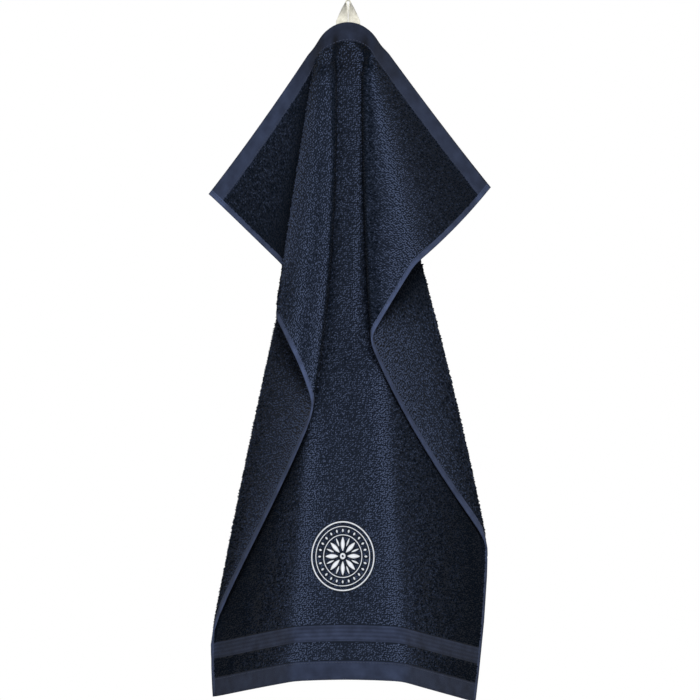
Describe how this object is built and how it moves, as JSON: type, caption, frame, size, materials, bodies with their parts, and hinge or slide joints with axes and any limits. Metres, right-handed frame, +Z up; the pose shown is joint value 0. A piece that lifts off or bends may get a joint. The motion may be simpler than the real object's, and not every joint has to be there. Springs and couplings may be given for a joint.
{
  "type": "hand towel",
  "caption": "Terry hand towel hanging by its sewn tape loop from one point, in the fan of folds that its own weight gives it.",
  "frame": {"origin": "hook seat: the middle of the inside of the hanging loop's top, where a hook's arm carries it", "axes": "+Z up, +Y from the towel's front to its back, +X to the right in the front view"},
  "size_m": [0.3048, 0.1539, 0.7531],
  "materials": {
    "terry_cloth": "looped terry pile with flat woven hems",
    "loop_tape": "flat cotton tape"
  },
  "bodies": {
    "root": {"towel": "terry_cloth", "hanging_loop": "loop_tape"}
  },
  "joints": []
}
